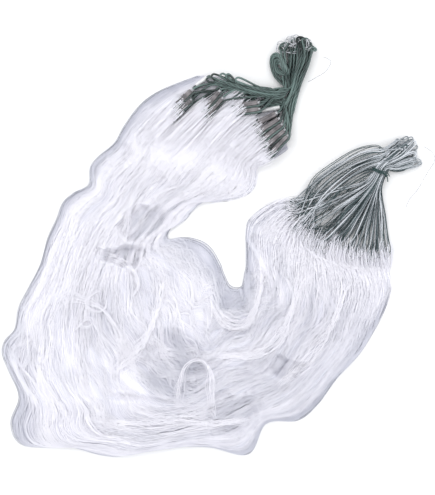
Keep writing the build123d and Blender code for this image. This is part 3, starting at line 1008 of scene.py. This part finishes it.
def painted_netting_light(s, t, xy):
    """How bright the netting is painted: painted shade at its thin edges, in its thin hollows and
    from the twentieth station on, painted lighter from the sixth, in streaks along it.
    """
    rim = smooth(t / 0.1) * smooth((1 - t) / 0.1)
    streaks = 0.22 * STREAK_NOISE(s * 0.33, t * 17) + 0.2 * FINE_STREAK_NOISE(s * 0.6, t * 45)
    thin = thinness(xy) * (0.8 + 0.5 * FINE_STREAK_NOISE(s * 0.45 + 7, t * 38))
    place = 0.1 * smooth((s - 6) / 6) - 0.34 * smooth((s - 20) / 8)
    return 0.6 + place + 0.3 * rim - 0.56 * thin + streaks - 0.6 * (1 - rim)


def netting_skin():
    """The outer layer of the gathered netting, as one sheet in its folds."""
    s, _ = even_stations(SKIN_ROWS)
    t = np.linspace(0.004, 0.996, SKIN_COLUMNS)
    s, t = np.meshgrid(s, t, indexing="ij")
    xy = netting_place(s, t)
    lock, fine = soft_noise(21), soft_noise(22)
    across = t * (1 + 0 * s) * 60
    relief = lock(s * 0.9, across * 0.55) * 1.6 + fine(s * 1.3, across * 1.4) * 0.9
    height = pile_height(s, t, xy)
    z = height * (0.9 - 0.35 * thinness(xy)) + 0.8 * relief * smooth(height / 12) - 1.1
    place = raised(xy, z, 0.4, 27)
    index = np.arange(s.size).reshape(s.shape)
    a, b, c, d = index[:-1, :-1], index[:-1, 1:], index[1:, 1:], index[1:, :-1]
    beyond = lifts(place, s)
    lifted = beyond[:-1, :-1] | beyond[:-1, 1:] | beyond[1:, 1:] | beyond[1:, :-1]
    # The sheet under the strands gets painted shade, a little darker than the strands.
    painted_light = painted_netting_light(s, t, xy) - 0.15
    streak = 0.5 + 0.5 * fine(s * 0.5 + 9, across * 2.3)
    made = []
    for name, chosen, body in (("netting_deep_shaded", ~lifted, "net"),
                               ("netting_deep_head", lifted, None)):
        faces = np.concatenate([np.stack([a[chosen], d[chosen], b[chosen]], -1),
                                np.stack([b[chosen], d[chosen], c[chosen]], -1)])
        used, faces = np.unique(faces, return_inverse=True)
        values = {"painted_light": painted_light.ravel()[used], "streak": streak.ravel()[used]}
        made.append(make_mesh(name, place.reshape(-1, 3)[used], faces.reshape(-1, 3), NET_SHADED_SKIN,
                              body, values))
    bends(made[1], "net", "head_hank", HEAD_BEND)
    return made, (s.ravel(), t.ravel(), xy.reshape(-1, 2), height.ravel())


def mesh_wave(count, length, run):
    """Neighbouring strands that swing together and apart, once over each run of netting."""
    far = np.linspace(0, length, STEPS)[None, :]
    return np.cos(math.pi * far / run + math.pi * (np.arange(count) % 2)[:, None])


def normals(xy):
    """The way across each line in plan."""
    way = unit(np.gradient(xy, axis=-2))
    return np.stack([-way[..., 1], way[..., 0]], -1)


def lock_strands(locks, each, seed):
    """Locks of twine that follow the netting's length, each lock swaying as one."""
    random = np.random.default_rng(seed)
    s, length = even_stations(STEPS)
    sway, draw, rise, curl = (soft_noise(seed + k) for k in range(1, 5))
    lock = np.repeat(np.arange(locks), each)
    count = len(lock)
    home = (lock + random.uniform(0.2, 0.8, locks)[lock]) / locks
    home = 0.03 + 0.94 * home
    offset = random.normal(0, 1, count)
    s = np.broadcast_to(s, (count, STEPS))
    lane = lock[:, None]
    t = home[:, None] + 0.055 * sway(s * 0.22, lane * 1.7) + 0.03 * curl(s * 0.55, lane * 2.3)
    waving = smooth((s - 28) / 3) * smooth((41 - s) / 3)
    t = t + 0.045 * waving * np.sin(math.tau * s / 4.6 + 1.6 * draw(s * 0.12, lane * 0.09))
    tight = 0.35 + 0.65 * (0.5 + 0.5 * draw(s * 0.3, lane * 1.3))
    t = t + offset[:, None] * 0.016 * tight
    t = 0.5 + np.clip(t - 0.5, -0.49, 0.49)
    xy = netting_place(s, t)
    far = np.linspace(0, length, STEPS)[None, :]
    ripple = curl(far / 9 + lane * 3.1, offset[:, None] * 2 + lane)
    aside = 0.55 * mesh_wave(count, length, 21) + 0.8 * ripple + 0.4
    xy = xy + normals(xy) * aside[..., None]
    height = pile_height(s, t, xy)
    depth = 0.90 + 0.10 * rise(s * 0.35, lane * 1.9)
    inside = random.uniform(0, 1, count)[:, None]
    z = (height * depth + 0.9 - inside * 1.6 * smooth(height / 10)
         + 1.0 * ripple * smooth(height / 14))
    # Strands that lie deeper in the pile get more painted shade.
    return raised(xy, z, 0.35, 29.2), s, painted_netting_light(s, t, xy) - 0.15 * inside


def veil_strands(count, seed, low, high, lift):
    """A single layer of netting, opened enough to show its meshes: neighbours meet at knots."""
    random = np.random.default_rng(seed)
    s, length = even_stations(STEPS)
    s = np.broadcast_to(s, (count, STEPS))
    gap = (high - low) / count
    home = low + gap * (np.arange(count) + 0.5)
    bend = soft_noise(seed + 5)
    t = home[:, None] + 0.02 * bend(s * 0.3, home[:, None] * 9)
    zigzag = mesh_wave(count, length, 17)
    t = np.clip(t + 0.46 * gap * zigzag, 0.001, 0.999)
    xy = netting_place(s, t)
    z = pile_height(s, t, xy) + lift + 0.25 * zigzag + random.uniform(-0.3, 0.5, count)[:, None]
    return raised(xy, z), s, painted_netting_light(s, t, xy)


def wisp(line, count, spread, lift, seed):
    """Loose twines that cross the pile along their own line."""
    random = np.random.default_rng(seed)
    guide = line_through([(x, y, 0) for x, y in line], 10)[:, :2]
    far = distances(guide)
    u = np.linspace(0, far[-1], WISP_STEPS)
    base = np.stack([np.interp(u, far, guide[:, k]) for k in (0, 1)], -1)
    wander = soft_noise(seed + 3)
    side = random.normal(0, spread, count)[:, None] * (0.6 + 0.4 * np.cos(u / 17))[None]
    side = side + wander(u[None] / 14, np.arange(count)[:, None] * 0.8) * spread * 0.7
    xy = base[None] + normals(base)[None] * side[..., None]
    return xy, lift + random.uniform(0, 1.6, count)[:, None] + 0 * side


def height_map(points, heights, cell=3.0, margin=12):
    """Height of the pile at any place, from a scatter of its points."""
    low = points.min(0) - margin
    size = np.ceil((points.max(0) + margin - low) / cell).astype(int)
    grid = np.zeros(size)
    i = ((points - low) / cell).astype(int)
    np.maximum.at(grid, (i[:, 0], i[:, 1]), heights)

    def at(xy):
        g = (xy - low) / cell - 0.5
        g = np.clip(g, 0, size - 2.001)
        k = g.astype(int)
        f = g - k
        u, v = k[..., 0], k[..., 1]
        a = grid[u, v] * (1 - f[..., 0]) + grid[u + 1, v] * f[..., 0]
        b = grid[u, v + 1] * (1 - f[..., 0]) + grid[u + 1, v + 1] * f[..., 0]
        return a * (1 - f[..., 1]) + b * f[..., 1]
    return at


(skin, skin_head), (grid_s, grid_t, grid_xy, grid_height) = netting_skin()
pile_at = height_map(grid_xy, grid_height)

net_pieces = []
paths, stations, painted_light = lock_strands(64, 16, 101)
net_pieces += netting_piece("netting_locks", paths, 0.24, stations, NET_WHITE, painted_light)
for k, (low, high, count) in enumerate(((0.0, 1.0, 70), (0.0, 0.1, 12), (0.9, 1.0, 14))):
    paths, stations, painted_light = veil_strands(count, 201 + 10 * k, low, high, 0.5)
    net_pieces += netting_piece(f"netting_veil_{k + 1}", paths, 0.17, stations, NET_WHITE, painted_light)
s, _ = even_stations(STEPS)
for k, (t, inwards) in enumerate(((0.0, 1), (1.0, -1))):
    edge = t + np.array([0.0, 0.006, 0.012])[:, None] * inwards + 0 * s
    stations = np.broadcast_to(s, edge.shape)
    z = 1.0 + 0.6 * np.sin(s * 1.7 + np.arange(3)[:, None] * 2)
    paths = raised(netting_place(stations, edge), z)
    net_pieces += netting_piece(f"netting_selvedge_{k + 1}", paths, 0.34, stations, NET_RIM_SHADE, 0.4)

# Loose twines across the pile: their line, how many, how far they spread, and how high they lie
WISPS = [
    ([(-42, -186), (-39, -160), (-33, -140), (-12, -133), (-1, -152), (-5, -182), (3, -206)],
     14, 3.0, 1.6),
    ([(-126, -10), (-106, -16), (-91, -33), (-85, -50), (-97, -60)], 14, 2.6, 1.5),
    ([(-130, -50), (-146, -57), (-152, -70), (-138, -80), (-124, -72), (-128, -60)], 9, 2.4, 1.4),
    ([(-162, -92), (-150, -98), (-140, -90), (-150, -82), (-166, -104)], 8, 2.0, 1.4),
    ([(-170, -60), (-140, -66), (-118, -88), (-108, -120)], 20, 3.0, 1.0),
    ([(-10, 160), (12, 138), (30, 118), (40, 96)], 26, 5.0, 1.0),
    ([(-60, -40), (-66, -80), (-84, -120), (-120, -150)], 30, 5.0, 1.0),
    ([(60, -10), (58, -60), (40, -96), (8, -92), (0, -66)], 30, 4.0, 1.2),
    ([(110, -20), (96, -70), (80, -110), (44, -136), (0, -128)], 34, 5.0, 1.0),
    ([(-70, 96), (-96, 60), (-104, 18), (-112, -6)], 26, 4.0, 1.0),
    ([(160, -30), (150, -80), (120, -130), (76, -168)], 30, 6.0, 1.0),
    ([(-150, -204), (-100, -212), (-44, -206), (10, -214), (50, -204)], 30, 5.0, 1.0),
]

# Where more loose twine starts, between the groups of sinkers
HEAPS = [(13, 180), (23, 184), (32, 180), (40, 171), (20, 172), (30, 166), (48, 160), (58, 148)]


def fallen_in(random, start, chosen, reach, sway, ease, u):
    """A twine's way in plan, from where it is held into the netting's flow, and its stations."""
    s, t, places = grid_s[chosen], grid_t[chosen], grid_xy[chosen]
    near = np.argmin(np.sum((places - start) ** 2, axis=1))
    stations = s[near] + reach * u
    flow = netting_place(stations, np.clip(t[near] + random.uniform(-sway, sway) * u, 0.01, 0.99))
    drift = random.normal(0, 2.0, 2)
    held = (start - flow[np.argmin(u)]) * (1 - smooth(u * ease))[:, None]
    return flow + held + drift * u[:, None], stations


def let_down(xy, ground, top, ease, u):
    """The twine with its height, from its top down to the pile and into it."""
    z = ground + (top - ground[np.argmin(u)]) * (1 - smooth(u * ease))
    z = np.maximum(z, 1) - 3 * smooth((u - 0.85) / 0.15)
    return raised(xy, z, high=29)


def foot_fuzz(each, seed):
    """Twine that leaves the sinkers and the lead line and falls in with the rest."""
    random = np.random.default_rng(seed)
    made = []
    u = np.linspace(0, 1, FUZZ_STEPS)
    chosen = slice(0, 120 * SKIN_COLUMNS)
    heaped = [(np.array([x, y, 12.5]), np.array([0.64, 0.77, 0])) for x, y in HEAPS]
    for place, (centre, way) in enumerate(sinker_axes + heaped):
        at_tip, at_neck, heap = centre[0] < -20, centre[0] > 62, place >= SINKER_COUNT
        over = random.uniform(0, 1, each) < (0.62 if at_tip else 0.06 if at_neck else 0.5)
        for k in range(each):
            back = random.uniform(-5 if at_neck else -10, 0) if over[k] else random.uniform(0, 12)
            if heap:
                back = random.uniform(-7, 7) - SINKER_LENGTH / 2
            side = random.normal(0, 4.5) * np.array([way[1], -way[0]])
            start = (centre - way * (SINKER_LENGTH / 2 + back))[:2] + side
            xy, _ = fallen_in(random, start, chosen, random.uniform(2.2, 5.5), 0.05, 1.4, u)
            top = centre[2] + (random.uniform(3.6, 5) if back < 0 and not heap
                               else random.uniform(-3, 4))
            made.append(let_down(xy, pile_at(xy) + random.uniform(0, 1.5), top, 1.7, u))
    return np.array(made)


def head_fuzz(each, seed):
    """Twine that leaves the head line's turns and falls in with the netting."""
    random = np.random.default_rng(seed)
    made, stations = [], []
    u = np.linspace(1, 0, FUZZ_STEPS)
    chosen = slice(300 * SKIN_COLUMNS, None)
    for place, angle in loop_ends:
        out = np.array([math.sin(angle), -math.cos(angle)])
        for _ in range(each):
            start = place[:2] - out * random.uniform(-4, 15) + random.normal(0, 3.2, 2)
            xy, along = fallen_in(random, start, chosen, -random.uniform(1.5, 6.5), 0.06, 1.3, u)
            ground = pile_at(xy) + random.uniform(0, 1.5)
            made.append(let_down(xy, ground, place[2] + random.uniform(0, 6), 1.8, u))
            stations.append(along)
    return np.array(made), np.array(stations)


strands, stations = head_fuzz(26, 88)
shade = 1.0 - 0.6 * smooth((np.linspace(0, 1, FUZZ_STEPS) - 0.8) * 5)
net_pieces += netting_piece("netting_hung", strands, 0.2, stations, NET_WHITE, shade, 700)
shade = 0.6 + 0.5 * smooth(np.linspace(0, 8, FUZZ_STEPS))
net_pieces += netting_piece("netting_foot", foot_fuzz(58, 77), 0.21, 0, NET_WHITE, shade, 700)
lines = []
for k, (line, count, spread, lift) in enumerate(WISPS):
    xy, rise = wisp(line, count, spread, lift, 401 + k)
    ends = np.minimum(np.arange(WISP_STEPS), np.arange(WISP_STEPS)[::-1]) / 8
    z = pile_at(xy) + rise - 1.0 - 3.5 * (1 - smooth(ends))[None]
    lines.append(raised(xy, z))
net_pieces += netting_piece("netting_wisps", np.concatenate(lines), 0.22, 0, NET_WHITE, 0.95, 400)

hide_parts("netting")

# --- Loose ends of clear twine

for name, route, body, node in (("lead_twine_end", LEAD_TAIL, "lead_hank", "lead_tail"),
                                ("head_twine_end", HEAD_TAIL, "head_hank", "head_tail")):
    route = [(x, y, TAIL_HEIGHT) for x, y in route]
    curve = spline_of(name, route, 12)
    curve.bevel_depth = END_TWINE / 2 * MM
    curve.bevel_resolution = 3
    curve.use_fill_caps = True
    curve.materials.append(CLEAR_TAIL)
    piece = bpy.data.objects.new(name, curve)
    scene.collection.objects.link(piece)
    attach(piece, body)
    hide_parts(node)
    length = line_length(line_through(route))
